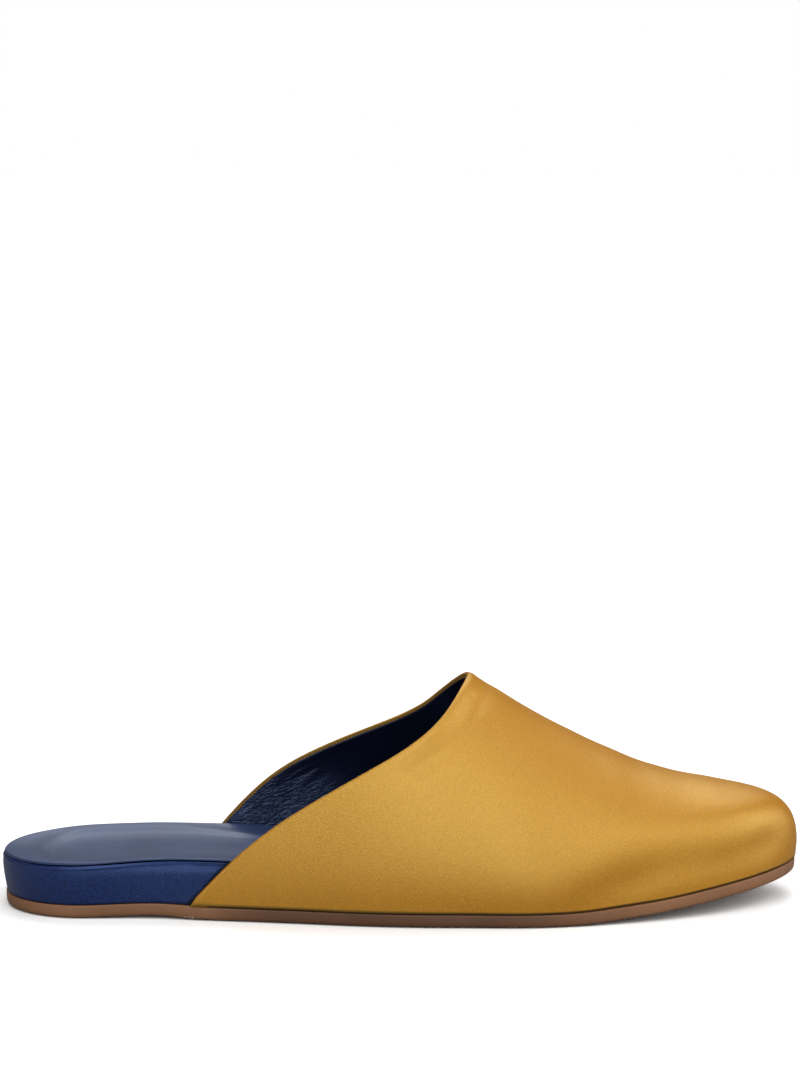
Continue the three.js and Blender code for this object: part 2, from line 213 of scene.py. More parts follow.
# The insole's moulded seat: its rim, the fall into it, the rim's crest and the climb to the outer side. The
# spans are measured from the seat's edge inwards, but SEAT_END runs along X and SEAT_ACROSS along Y.
SEAT_RIM = 0.48
SEAT_RIM_SPAN = (-7.0, 0.0)
SEAT_FALL = 1.2
SEAT_FALL_SPAN = (-0.3, 5.4)
SEAT_CREST = 0.08
SEAT_CREST_PLACE = 0.2
SEAT_CREST_WIDTH = 1.3
SEAT_TILT = 0.55
SEAT_TILT_SPAN = (8.0, 26.0)
SEAT_END = (-46.0, -30.0)
SEAT_ACROSS = (-24.0, -8.0)
INSOLE_SWAY = 0.12
INSOLE_SWAY_SPAN = 19.0
INSOLE_EDGE_SWAY = 0.3
INSOLE_EDGE_SPAN = 9.0

# The sole's softened edges
SOLE_BEVEL = 0.35
SOLE_BEVEL_STEPS = 2


def millimetres(*values):
    return Vector(values) * MM


def srgb(red, green, blue):
    """A colour picked on screen, as the renderer counts it"""
    def linear(value):
        share = value / 255
        return share / 12.92 if share <= 0.04045 else ((share + 0.055) / 1.055) ** 2.4

    return (linear(red), linear(green), linear(blue), 1.0)


def smooth_step(low, high, value):
    share = min(max((value - low) / (high - low), 0.0), 1.0)
    return share * share * (3 - 2 * share)


def smooth_line(points, steps=6):
    """A soft curve through the points"""
    line = []
    for i in range(len(points) - 1):
        before, start, end = points[max(i - 1, 0)], points[i], points[i + 1]
        after = points[min(i + 2, len(points) - 1)]
        for step in range(steps):
            t = step / steps
            lean = (end - before) / 2
            arrive = (after - start) / 2
            line.append(
                start * (2 * t**3 - 3 * t**2 + 1)
                + lean * (t**3 - 2 * t**2 + t)
                + end * (3 * t**2 - 2 * t**3)
                + arrive * (t**3 - t**2)
            )
    return line + [points[-1]]


def hump(distance, middle, width):
    """A soft rise, 1 at its middle"""
    return math.exp(-(((distance - middle) / width) ** 2))


def in_plan(point):
    return Vector((point.x, point.y, 0.0))


def from_side(point):
    return Vector((point.x, 0.0, point.z))


def sway(point, span):
    """A soft unevenness between -1 and 1, with humps about a span of millimetres apart"""
    return noise.noise(point / (span * MM))


def tree_of(points):
    """The points, sorted so that the nearest one is found fast"""
    tree = kdtree.KDTree(len(points))
    for i, point in enumerate(points):
        tree.insert(point, i)
    tree.balance()
    return tree


# Meshes


def cad_copy(node):
    """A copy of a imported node's mesh, merged, with its triangles joined to quads"""
    bm = bmesh.new()
    bm.from_mesh(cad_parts[node].data)
    bmesh.ops.remove_doubles(bm, verts=bm.verts, dist=MERGE_DISTANCE)
    bmesh.ops.join_triangles(
        bm,
        faces=bm.faces,
        angle_face_threshold=math.radians(JOIN_FACE_ANGLE),
        angle_shape_threshold=math.radians(JOIN_SHAPE_ANGLE),
        topology_influence=JOIN_TOPOLOGY,
    )
    return bm


def piece_from(bm, name):
    mesh = bpy.data.meshes.new(name)
    bm.to_mesh(mesh)
    bm.free()
    for layer in ("custom_normal", "sharp_face", "sharp_edge"):
        if layer in mesh.attributes:
            mesh.attributes.remove(mesh.attributes[layer])
    mesh.shade_smooth()
    obj = bpy.data.objects.new(name, mesh)
    bpy.context.scene.collection.objects.link(obj)
    return obj


def subdivided(bm, name, levels):
    """The mesh after smooth subdivision, as a new bmesh"""
    obj = piece_from(bm, name)
    modifier = obj.modifiers.new("smooth_form", "SUBSURF")
    modifier.levels = levels
    modifier.render_levels = levels
    modifier.boundary_smooth = "PRESERVE_CORNERS"
    finished = obj.evaluated_get(bpy.context.evaluated_depsgraph_get())
    mesh = bpy.data.meshes.new_from_object(finished)
    dense = bmesh.new()
    dense.from_mesh(mesh)
    bpy.data.objects.remove(obj)
    bpy.data.meshes.remove(mesh)
    return dense


def add_bevel(obj, width, segments):
    modifier = obj.modifiers.new("soft_edges", "BEVEL")
    modifier.width = width * MM
    modifier.segments = segments
    modifier.limit_method = "ANGLE"
    modifier.angle_limit = math.radians(BEVEL_ANGLE)


def add_thickness(obj, thickness):
    modifier = obj.modifiers.new("thickness", "SOLIDIFY")
    modifier.thickness = thickness * MM
    modifier.offset = -1.0


def crease_sharp_edges(bm, angle):
    """Edges that bend more than this stay edges when the mesh is subdivided"""
    layer = bm.edges.layers.float.get("crease_edge") or bm.edges.layers.float.new("crease_edge")
    for edge in bm.edges:
        if len(edge.link_faces) == 2 and edge.calc_face_angle() > math.radians(angle):
            edge[layer] = 1.0


def move_points(bm, move_of):
    """Moves each point by what move_of(vert) says; all moves are worked out before the first point moves"""
    moves = [(vert, move_of(vert)) for vert in bm.verts]
    for vert, move in moves:
        vert.co += move


def shift_along_normals(bm, height_at):
    """Moves each point along its normal by height_at(point) millimetres"""
    bm.normal_update()
    move_points(bm, lambda vert: vert.normal * height_at(vert.co) * MM)


def mark_points(obj, name, mark_at):
    """Stores mark_at(place) at each point, for a material to read"""
    layer = obj.data.attributes.new(name, "FLOAT", "POINT")
    for mark, vert in zip(layer.data, obj.data.vertices):
        mark.value = mark_at(vert.co)


# The upper


def outer_skin():
    """The outer face of the upper, as an open sheet"""
    bm = cad_copy("upper")
    start = min(bm.faces, key=lambda face: face.calc_center_median().y)
    kept = {start}
    waiting = [start]
    while waiting:
        for edge in waiting.pop().edges:
            if edge.calc_face_angle(math.pi) > math.radians(SKIN_EDGE_ANGLE):
                continue
            for face in edge.link_faces:
                if face not in kept:
                    kept.add(face)
                    waiting.append(face)
    bmesh.ops.delete(bm, geom=[face for face in bm.faces if face not in kept], context="FACES")
    near_pole = [v for v in bm.verts if (v.co - TOE_POLE).length < TOE_POLE_REACH * MM]
    bmesh.ops.pointmerge(bm, verts=near_pole, merge_co=TOE_POLE)
    return bm


class Rim:
    """The sheet's edge as one loop: round the collar from the outer wing, then back along the sole"""

    def __init__(self, bm):
        bm.normal_update()
        corners = [v for v in bm.verts if v.is_boundary and len(v.link_edges) == 2]
        start = min(corners, key=lambda vert: vert.co.y)
        chains = [self.walk(start, edge, corners) for edge in start.link_edges]
        chains.sort(key=lambda chain: max(vert.co.z for vert in chain))
        sole, collar = chains
        self.collar_count = len(collar)
        self.verts = collar + sole[-2:0:-1]
        self.points = [vert.co.copy() for vert in self.verts]
        self.normals = [vert.normal.copy() for vert in self.verts]
        self.outward = [self.outward_of(i) for i in range(len(self.verts))]
        self.roles = [self.role_of(i) for i in range(len(self.verts))]
        self.tree = tree_of(self.points[: self.collar_count])

    @staticmethod
    def walk(start, edge, corners):
        chain = [start]
        while True:
            vert = edge.other_vert(chain[-1])
            chain.append(vert)
            if vert in corners:
                return chain
            edge = next(e for e in vert.link_edges if e.is_boundary and e != edge)

    def outward_of(self, i):
        """The way out of the sheet at a point of its edge, in the sheet's own plane"""
        count = len(self.verts)
        along = (self.points[(i + 1) % count] - self.points[i - 1]).normalized()
        out = along.cross(self.normals[i]).normalized()
        faces = self.verts[i].link_faces
        middle = sum((face.calc_center_median() for face in faces), Vector()) / len(faces)
        return out if out.dot(middle - self.points[i]) < 0 else -out

    def role_of(self, i):
        """1 on the collar, 0 along the sole, with a short way between them at the wing tips"""
        if i >= self.collar_count:
            return 0.0
        tips = (self.points[0], self.points[self.collar_count - 1])
        nearest = min((self.points[i] - tip).length for tip in tips) / MM
        return smooth_step(0.0, WING_TIP_REACH, nearest)

    def from_collar(self, point):
        """Distance to the collar in millimetres, and the nearest point's number"""
        _, i, _ = self.tree.find(point)
        best = (point - self.points[i]).length
        for j in (i - 1, i):
            if 0 <= j < self.collar_count - 1:
                foot, share = intersect_point_line(point, self.points[j], self.points[j + 1])
                if 0 <= share <= 1:
                    best = min(best, (point - foot).length)
        return best / MM, i


def refine_collar(bm):
    """Two closer rows of faces along the collar, so that the turned edge keeps its shape"""
    rim = Rim(bm)
    collar = set(rim.verts[: rim.collar_count])
    across = [e for e in bm.edges if not e.is_boundary and len(collar.intersection(e.verts)) == 1]
    bmesh.ops.subdivide_edges(bm, edges=across, cuts=COLLAR_CUTS, use_grid_fill=True)


def ease_collar(bm):
    """Takes the last corners out of the collar's line, with the faces near it following"""
    rim = Rim(bm)
    line = [point.copy() for point in rim.points[: rim.collar_count]]
    for _ in range(COLLAR_EASE_STEPS):
        middle = [(a + b) / 2 for a, b in zip(line, line[2:])]
        line[1:-1] = [point.lerp(target, 0.5) for point, target in zip(line[1:-1], middle)]
    moves = [new - old for new, old in zip(line, rim.points)]

    def follow(vert):
        distance, i = rim.from_collar(vert.co)
        return moves[i] * max(0.0, 1 - distance / COLLAR_EASE_REACH)

    move_points(bm, follow)


def capsule_distance(point, line):
    """Distance in millimetres from a point to a run of straight stretches"""
    best = math.inf
    for start, end in zip(line, line[1:]):
        _, share = intersect_point_line(point, start, end)
        share = min(max(share, 0.0), 1.0)
        best = min(best, (point - start.lerp(end, share)).length)
    return best / MM


# The toe's soft overhang runs along this line, from the sole at the ball round to the tip
TOE_FOLD = [
    millimetres(39.7, -50.2, 12.1),
    millimetres(60.2, -46.8, 17.8),
    millimetres(73.5, -42.0, 22.3),
    millimetres(91.9, -34.3, 26.2),
    millimetres(110.9, -26.1, 27.8),
    millimetres(125.6, -16.4, 31.0),
    millimetres(132.4, -7.2, 33.6),
    millimetres(134.2, 3.0, 33.0),
]

# The same overhang on the inner side
INNER_FOLD = [
    millimetres(44.0, 50.0, 13.0),
    millimetres(70.0, 46.0, 20.0),
    millimetres(98.0, 36.0, 25.0),
    millimetres(118.0, 24.0, 26.0),
]

# The shallow trough that runs down from the throat beside the collar
THROAT_LINE = [
    millimetres(26.5, -11.2, 72.5),
    millimetres(23.5, -20.5, 67.1),
    millimetres(18.1, -29.4, 60.0),
    millimetres(12.8, -33.3, 56.5),
    millimetres(4.2, -37.0, 52.1),
]


def lifted(line, rise):
    return [point + millimetres(0.0, 0.0, rise) for point in line]


TOE_RIDGE = lifted(TOE_FOLD, TOE_RIDGE_ABOVE)
TOE_HOLLOW = lifted(TOE_FOLD, -TOE_HOLLOW_BELOW)
INNER_HOLLOW = lifted(INNER_FOLD, -INNER_HOLLOW_BELOW)


def by_toe(point):
    """1 where the toe's fold is at its strongest, fading towards the ball and round the tip"""
    x, y = point.x / MM, point.y / MM
    round_tip = TIP_FADE * smooth_step(*TIP_ACROSS, y) * smooth_step(*TIP_START, x)
    return smooth_step(*TOE_FOLD_START, x) * (1 - round_tip)


def hollow_depth(point):
    """How deep satin and lining sink together below the toe's overhang, in millimetres"""
    return TOE_FOLD_DROP * by_toe(point) * hump(capsule_distance(point, TOE_HOLLOW), 0.0, TOE_HOLLOW_WIDTH)


def satin_relief(point, distance):
    """How far the satin stands off the smooth form here, in millimetres"""
    by_throat = smooth_step(*COLLAR_FORMS_START, point.x / MM)
    ridge = hump(capsule_distance(point, TOE_RIDGE), 0.0, TOE_RIDGE_WIDTH)
    height = COLLAR_SWELL * by_throat * hump(distance, COLLAR_SWELL_PLACE, COLLAR_SWELL_WIDTH)
    height -= THROAT_DIP * hump(capsule_distance(point, THROAT_LINE), 0.0, THROAT_DIP_WIDTH)
    height -= COLLAR_DIP * by_throat * hump(distance, COLLAR_DIP_PLACE, COLLAR_DIP_WIDTH)
    height += TOE_FOLD_RISE * by_toe(point) * ridge
    height -= hollow_depth(point)
    height -= INNER_FOLD_DROP * hump(capsule_distance(point, INNER_HOLLOW), 0.0, INNER_HOLLOW_WIDTH)
    return height + SATIN_SWAY * sway(point, SATIN_SWAY_SPAN)


def extrude_ring(bm, ring, places):
    """Carries a closed ring of edge points on to new places, with faces between, and returns the new ring"""
    count = len(ring)
    edges = [bm.edges.get((ring[i], ring[(i + 1) % count])) for i in range(count)]
    made = bmesh.ops.extrude_edge_only(bm, edges=edges)["geom"]
    fresh = {v for v in made if isinstance(v, bmesh.types.BMVert)}
    following = []
    for vert, place in zip(ring, places):
        twin = next(e.other_vert(vert) for e in vert.link_edges if e.other_vert(vert) in fresh)
        twin.co = place
        following.append(twin)
    return following


def roll_edge(bm, rim, depth, crown, hem, tuck):
    """Turns the sheet's edge over and carries it back on the inside. depth, crown, hem and tuck are functions
    of the role, which is 1 on the collar and 0 along the sole. tuck first draws the edge in by as much."""
    count = len(rim.verts)
    for i, vert in enumerate(rim.verts):
        vert.co = rim.points[i] - rim.outward[i] * tuck(rim.roles[i]) * MM
    starts = [vert.co.copy() for vert in rim.verts]
    rows = []
    for step in range(1, ROLL_STEPS + 1):
        angle = math.pi * step / ROLL_STEPS
        row = []
        for i in range(count):
            a = depth(rim.roles[i]) / 2 * MM
            c = crown(rim.roles[i]) * MM
            n, out = rim.normals[i], rim.outward[i]
            row.append(starts[i] - n * a + n * a * math.cos(angle) + out * c * math.sin(angle))
        rows.append(row)
    turned = rows[-1]
    for share in (0.5, 1.0):
        rows.append([turned[i] - rim.outward[i] * hem(rim.roles[i]) * share * MM for i in range(count)])
    ring = list(rim.verts)
    for row in rows:
        ring = extrude_ring(bm, ring, row)


def store_turned_edge(obj, rim, edge_numbers, skin_count):
    """Marks the painted shade on the edge that roll_edge turned in: 0 outside, HEM_MARK inside the collar and
    1 by the sole
    """
    layer = obj.data.attributes.new("turned_edge_shade", "FLOAT", "POINT")
    for i, role in zip(edge_numbers, rim.roles):
        layer.data[i].value = RIM_MARK * (1 - role)
    for i in range(skin_count, len(obj.data.vertices)):
        turn = ((i - skin_count) // len(edge_numbers) + 1) / ROLL_STEPS
        on_collar = rim.from_collar(obj.data.vertices[i].co)[0] < HEM_MARK_REACH
        layer.data[i].value = HEM_MARK * smooth_step(*HEM_MARK_TURN, turn) if on_collar else 1.0


def build_upper_satin(skin):
    bm = skin.copy()
    rim = Rim(bm)
    shift_along_normals(bm, lambda point: satin_relief(point, rim.from_collar(point)[0]))
    rim = Rim(bm)
    bm.verts.index_update()
    edge_numbers = [vert.index for vert in rim.verts]
    skin_count = len(bm.verts)
    roll_edge(
        bm,
        rim,
        depth=lambda role: SOLE_ROLL + (WALL_TO_HEM - SOLE_ROLL) * role,
        crown=lambda role: SOLE_TUCK + (COLLAR_CROWN - SOLE_TUCK) * role,
        hem=lambda role: SOLE_HEM + (HEM_WIDTH - SOLE_HEM) * role,
        tuck=lambda role: (SOLE_TUCK - SOLE_TUCK_SPARED) * (1 - role),
    )
    obj = piece_from(bm, "upper_satin")
    store_turned_edge(obj, rim, edge_numbers, skin_count)
    add_thickness(obj, SATIN_THICKNESS)
    return obj


def lining_relief(point):
    """Lengthwise creases where the lining bends at the wings, and a soft unevenness elsewhere"""
    x, z = point.x / MM, point.z / MM
    by_wing = (1 - smooth_step(*CREASES_END, x)) * (1 - smooth_step(*CREASES_TOP, z))
    bent = Vector((x / CREASE_LENGTH, 0.0, (z - CREASE_SLOPE * x) / CREASE_PITCH))
    bent.z += CREASE_WANDER * noise.noise(Vector((x / CREASE_LENGTH, CREASE_SLICE, z / CREASE_LENGTH)))
    crease = 1 - 2 * abs(noise.noise(bent))
    return CREASE_HEIGHT * by_wing * (crease - CREASE_LEVEL) + LINING_SWAY * sway(point, LINING_SWAY_SPAN)


def crumpling_and_light(point):
    """How creased the lining's leather is, and how much painted light its creases get: 1 low on the wings, 0
    at the throat
    """
    x, z = point.x / MM, point.z / MM
    return (1 - smooth_step(*CRUMPLING_AND_LIGHT_END, x)) * (1 - smooth_step(*CRUMPLING_AND_LIGHT_TOP, z))


def build_upper_lining(skin):
    bm = skin.copy()
    rim = Rim(bm)

    def inwards(vert):
        distance, i = rim.from_collar(vert.co)
        slide = (HEM_WIDTH - LINING_FOLD) * max(0.0, 1 - distance / HEM_SLIDE_REACH)
        depth = WALL_TO_LINING + hollow_depth(vert.co)
        return -rim.outward[i] * slide * MM - vert.normal * depth * MM

    move_points(bm, inwards)
    bmesh.ops.reverse_faces(bm, faces=bm.faces)
    shift_along_normals(bm, lining_relief)
    roll_edge(
        bm,
        Rim(bm),
        depth=lambda role: 2 * LINING_FOLD,
        crown=lambda role: LINING_FOLD,
        hem=lambda role: LINING_HEM,
        tuck=lambda role: 0.0,
    )
    obj = piece_from(bm, "upper_lining")
    # This mark drives both the creases' bump and the painted light on them
    mark_points(obj, "creasing_and_light", crumpling_and_light)
    add_thickness(obj, LINING_THICKNESS)
    return obj


def along_collar(rim, pitch):
    """Even places along the collar: the point, its normal and its way out of the sheet"""
    travelled = 0.0
    due = pitch
    for i in range(1, rim.collar_count):
        step = (rim.points[i] - rim.points[i - 1]).length / MM
        while travelled + step >= due:
            share = (due - travelled) / step
            point = rim.points[i - 1].lerp(rim.points[i], share)
            normal = rim.normals[i - 1].lerp(rim.normals[i], share)
            out = rim.outward[i - 1].lerp(rim.outward[i], share)
            yield point, normal.normalized(), out.normalized()
            due += pitch
        travelled += step


def build_hem_stitches(skin):
    """Short threads over the lining's folded edge"""
    bm = bmesh.new()
    size = Matrix.Diagonal((STITCH_LENGTH / 2, STITCH_THREAD / 2, STITCH_THREAD / 2, 1.0))
    for point, normal, out in along_collar(Rim(skin), STITCH_PITCH):
        lean = (out + STITCH_LEAN * out.cross(normal).normalized()).normalized()
        place = point - normal * (WALL_TO_HEM + STITCH_DEPTH) * MM - out * (HEM_WIDTH - STITCH_REACH) * MM
        turn = Matrix((lean, normal.cross(lean).normalized(), normal)).transposed().to_4x4()
        bmesh.ops.create_uvsphere(
            bm,
            u_segments=8,
            v_segments=6,
            radius=MM,
            matrix=Matrix.Translation(place) @ turn @ size,
        )
    return piece_from(bm, "hem_stitches")


# The footbed, the insole and the sole


# Where the insole's moulded seat ends, on the inner side and round the heel
SEAT_EDGE = [
    millimetres(-122.0, -24.0, 0.0),
    millimetres(-126.4, -12.0, 0.0),
    millimetres(-127.2, -1.0, 0.0),
    millimetres(-124.1, 12.7, 0.0),
    millimetres(-120.5, 20.5, 0.0),
    millimetres(-115.3, 25.8, 0.0),
    millimetres(-106.0, 27.3, 0.0),
    millimetres(-90.0, 25.3, 0.0),
    millimetres(-79.0, 22.8, 0.0),
    millimetres(-70.0, 20.6, 0.0),
    millimetres(-57.3, 16.4, 0.0),
    millimetres(-36.0, 12.0, 0.0),
]
SEAT_CURVE = smooth_line(SEAT_EDGE)


def past_line(point, line):
    """Distance in plan from a line, in millimetres, counted positive on its right"""
    flat = in_plan(point)
    best, side = math.inf, 1.0
    for start, end in zip(line, line[1:]):
        _, share = intersect_point_line(flat, start, end)
        offset = flat - start.lerp(end, min(max(share, 0.0), 1.0))
        if offset.length < best:
            best = offset.length
            side = 1.0 if (end - start).cross(flat - start).z < 0 else -1.0
    return side * best / MM


def satin_edge_relief(point, normal):
    """The footbed's cover swells along its top edge, with small gathers"""
    on_edge = smooth_step(*EDGE_BEGINS, normal.z) * (1 - smooth_step(*EDGE_ENDS, normal.z))
    gather = sway(in_plan(point), GATHER_SPAN)
    fine = sway(in_plan(point) + millimetres(0.0, 0.0, FINE_GATHER_SLICE), FINE_GATHER_SPAN)
    wall = COVER_SWAY * sway(point, COVER_SWAY_SPAN)
    return on_edge * (FOOTBED_PUFF + GATHER * gather + FINE_GATHER * fine) + wall


def shoulder_easing(point, normal, top):
    """How far the cover's wall leans in below the top edge, most at the arch"""
    x = point.x / MM
    at_arch = smooth_step(*ARCH_START, x) * (1 - smooth_step(*ARCH_END, x))
    below = (top - point.z) / MM
    on_wall = 1 - smooth_step(*WALL_ENDS, abs(normal.z))
    return on_wall * (COVER_LEAN + ARCH_LEAN * at_arch) * (1 - smooth_step(0.0, LEAN_DROP, below))


def shade_by_wing(obj, rim):
    """Marks the painted shadow line on the footbed's cover just outside the wings"""
    collar = rim.points[: rim.collar_count]
    tree = tree_of([from_side(point) for point in collar])

    def shade(place):
        near = tree.find_n(from_side(place), WING_LINE_NEIGHBOURS)
        same_side = [away / MM for _, i, away in near if collar[i].y * place.y > 0]
        distance = min(same_side + [WING_LINE_CLEAR])
        return 1 - smooth_step(WING_LINE - WING_LINE_BLUR, WING_LINE + WING_LINE_BLUR, distance)

    mark_points(obj, "wing_shade", shade)


def build_footbed_satin(rim):
    bm = cad_copy("footbed")
    crease_sharp_edges(bm, COVER_EDGE_ANGLE)
    bm = subdivided(bm, "footbed_form", COVER_LEVELS)
    bm.normal_update()
    tops = [vert.co.copy() for vert in bm.verts if vert.normal.z > TOP_FACES]
    tree = tree_of([in_plan(place) for place in tops])

    def swell_and_lean(vert):
        if vert.normal.z <= UNDER_FACES:
            return Vector()
        _, nearest, _ = tree.find(in_plan(vert.co))
        push = satin_edge_relief(vert.co, vert.normal)
        push -= shoulder_easing(vert.co, vert.normal, tops[nearest].z)
        return vert.normal * push * MM

    move_points(bm, swell_and_lean)
    obj = piece_from(bm, "footbed_satin")
    shade_by_wing(obj, rim)
    return obj


def insole_relief(point):
    """The moulded seat: a raised rim that falls into it, and a floor that climbs a little outwards"""
    x, y = point.x / MM, point.y / MM
    inside = past_line(point, SEAT_CURVE)
    at_heel = (1 - smooth_step(*SEAT_END, x)) * smooth_step(*SEAT_ACROSS, y)
    rim = SEAT_RIM * (smooth_step(*SEAT_RIM_SPAN, inside) - SEAT_FALL * smooth_step(*SEAT_FALL_SPAN, inside))
    rim += SEAT_CREST * hump(inside, SEAT_CREST_PLACE, SEAT_CREST_WIDTH)
    floor = SEAT_TILT * smooth_step(*SEAT_TILT_SPAN, inside)
    return at_heel * (rim + floor) + INSOLE_SWAY * sway(point, INSOLE_SWAY_SPAN)


def build_insole_leather():
    bm = cad_copy("insole")
    crease_sharp_edges(bm, COVER_EDGE_ANGLE)
    bm = subdivided(bm, "insole_form", COVER_LEVELS)
    bm.normal_update()

    def mould(vert):
        rise = insole_relief(vert.co) if vert.normal.z > SEAT_FACES else 0.0
        edge = INSOLE_EDGE_SWAY * sway(in_plan(vert.co), INSOLE_EDGE_SPAN)
        return millimetres(0.0, 0.0, rise) + in_plan(vert.normal) * edge * MM

    move_points(bm, mould)
    return piece_from(bm, "insole_leather")


def build_outsole_leather():
    bm = cad_copy("outsole")
    crease_sharp_edges(bm, SOLE_EDGE_ANGLE)
    obj = piece_from(subdivided(bm, "outsole_form", SOLE_LEVELS), "outsole_leather")
    add_bevel(obj, SOLE_BEVEL, SOLE_BEVEL_STEPS)
    return obj


# Finishes


# Shades from dark to light, each with its place on the noise that picks it; what a surface reflects in its
# highlights; painted shade on turned-in edges, along the wings and on the sole's middle; painted light on the
# lining's creases; and the colour of the sole's nicks
GOLD_SHADES = ((0.36, srgb(164, 102, 6)), (0.5, srgb(183, 116, 10)), (0.64, srgb(204, 134, 20)))
GOLD_GLEAM = srgb(246, 222, 131)
# Painted shade on the gold satin where its edge turns in, inside the collar and against the sole
GOLD_EDGE_SHADE = srgb(58, 30, 8)
BLUE_SHADES = ((0.36, srgb(11, 18, 49)), (0.5, srgb(22, 34, 80)), (0.64, srgb(39, 56, 113)))
BLUE_GLEAM = srgb(147, 184, 252)
# Painted shadow on the footbed's cover just outside the wings
BLUE_WING_SHADOW = srgb(8, 5, 6)
LINING_SHADES = ((0.3, srgb(5, 8, 19)), (0.7, srgb(11, 15, 33)))
LINING_GLEAM = srgb(190, 210, 255)
# Painted light on the lining's creases
LINING_CREASE_LIGHT = srgb(56, 70, 106)
INSOLE_SHADES = ((0.3, srgb(38, 54, 90)), (0.7, srgb(50, 68, 104)))
INSOLE_GLEAM = srgb(205, 222, 255)
SOLE_SHADES = ((0.3, srgb(130, 90, 60)), (0.7, srgb(160, 114, 80)))
# Painted shade on the sole's edge under the upper's overhang
SOLE_PAINTED_SHADE = srgb(70, 42, 26)
SOLE_NICKED = srgb(226, 208, 192)

# How rough the satins are, and how rough where their edge is turned in or where the painted shadow runs along
# the wings
GOLD_ROUGHNESS = 0.39
BLUE_ROUGHNESS = 0.36
PRESSED_ROUGHNESS = 0.95

# Threads, grain, creases and pores per metre
SATIN_THREADS = 1500.0
SATIN_GRAIN = 2400.0
LINING_CREASES = 860.0
LINING_PORES = 1500.0
INSOLE_PORES = 900.0
SOLE_PORES = 700.0

# The twill's turn in degrees about each axis, and the radians that a wave texture runs through per unit
TWILL_TURN = (0, 38, 8)
WAVE_RATE = 20

# The leather's grain: its fine part's and its tone's scale as shares of the pores', and a pore's edge as a
# share of its width
FINE_GRAIN_SHARE = 0.5
TONE_SHARE = 0.04
PORE_EDGE = 0.25

# The net of creases: its turn in degrees, how it is drawn out, its bends per metre and their reach in
# millimetres, and a crease's edge as a share of its width
CREASE_NET_TURN = -16
CREASE_NET_STRETCH = (4.6, 2.4, 1.0)
CREASE_NET_BENDS = 260.0
CREASE_NET_BEND = 2.0
CREASE_NET_EDGE = 0.16

# How far the threads stand out: on the blue satin, and on the gold from the wings to the toe
BLUE_TWILL = 0.2
GOLD_TWILL_BY_WING = 0.5
GOLD_TWILL_BY_TOE = 0.15
GOLD_TWILL_SPAN = (-45.0, 10.0)

# How much darker painted shade makes the sole's edge along its middle, under the upper's overhang, and where
# that begins and ends
SOLE_SHADE_DEPTH = 0.65
SOLE_SHADE_START = (-75.0, -40.0)
SOLE_SHADE_END = (35.0, 85.0)

# The nicks in the sole: where they start, end, stop going up and stop towards the inner side, how many spots
# there are per metre, which part of a spot is a nick, and how strongly it shows
NICKS_START = (-77.2, -75.8)
NICKS_END = (-72.2, -70.8)
NICKS_TOP = (0.9, 1.8)
NICKS_ACROSS = (-12.0, -8.0)
NICK_SPOTS = 1100.0
NICK_EDGE = (0.5, 0.56)
NICK_STRENGTH = 0.9


class Finish:
    """A material under way: its nodes, its shader and short ways to join them"""

    def __init__(self, name, **shader_values):
        self.material = bpy.data.materials.new(name)
        self.material.use_nodes = True
        self.tree = self.material.node_tree
        self.shader = self.tree.nodes["Principled BSDF"]
        for label, value in shader_values.items():
            self.shader.inputs[label.replace("_", " ")].default_value = value

    def node(self, kind, **values):
        return add_node(self.tree, kind, **values)

    def link(self, source, target):
        self.tree.links.new(source, target)

    def feed(self, label, source):
        """Joins source to the shader's input of that name"""
        self.link(source, self.shader.inputs[label])

    def object_place(self):
        return self.node("ShaderNodeTexCoord").outputs["Object"]

    def axes(self, place):
        split = self.node("ShaderNodeSeparateXYZ")
        self.link(place, split.inputs[0])
        return split.outputs

    def mark(self, name):
        """What a point's stored mark says"""
        return self.node("ShaderNodeAttribute", attribute_name=name).outputs["Fac"]

    def fade(self, value, span, first, last):
        """first before the span, which is in millimetres, last past it, and a soft change between"""
        return soft_ramp(self.tree, value, [place * MM for place in span], first, last)

    def group(self, group, vector, **values):
        node = self.node("ShaderNodeGroup")
        node.node_tree = group
        self.link(vector, node.inputs["Vector"])
        for label, value in values.items():
            node.inputs[label].default_value = value
        return node

    def shades(self, value, stops):
        """The colours of the stops, blended by value"""
        ramp = self.node("ShaderNodeValToRGB")
        elements = ramp.color_ramp.elements
        while len(elements) < len(stops):
            elements.new(0.5)
        for element, (place, colour) in zip(elements, stops):
            element.position = place
            element.color = colour
        self.link(value, ramp.inputs["Fac"])
        return ramp.outputs["Color"]

    def mix_colour(self, share, first, second):
        """first where share is 0, second, a constant colour, where it is 1"""
        mix = self.node("ShaderNodeMix", data_type="RGBA")
        self.link(share, mix.inputs["Factor"])
        self.link(first, mix.inputs["A"])
        mix.inputs["B"].default_value = second
        return mix.outputs["Result"]

    def bump(self, height, strength, distance, normal=None):
        bump = self.node("ShaderNodeBump")
        bump.inputs["Strength"].default_value = strength
        bump.inputs["Distance"].default_value = distance * MM
        self.link(height, bump.inputs["Height"])
        if normal is not None:
            self.link(normal, bump.inputs["Normal"])
        return bump.outputs["Normal"]


def add_node(tree, kind, **values):
    node = tree.nodes.new(kind)
    for name, value in values.items():
        setattr(node, name, value)
    return node


def new_group(name, inputs, outputs):
    """A node group with its vector first, then its named numbers"""
    tree = bpy.data.node_groups.new(name, "ShaderNodeTree")
    tree.interface.new_socket("Vector", in_out="INPUT", socket_type="NodeSocketVector")
    for label, value in inputs.items():
        socket = tree.interface.new_socket(label, in_out="INPUT", socket_type="NodeSocketFloat")
        socket.default_value = value
    for label in outputs:
        tree.interface.new_socket(label, in_out="OUTPUT", socket_type="NodeSocketFloat")
    return tree, tree.nodes.new("NodeGroupInput"), tree.nodes.new("NodeGroupOutput")


def math_node(tree, operation, first, second=None):
    node = add_node(tree, "ShaderNodeMath", operation=operation)
    for socket, value in zip(node.inputs, (first, second)):
        if isinstance(value, (int, float)):
            socket.default_value = value
        elif value is not None:
            tree.links.new(value, socket)
    return node.outputs[0]


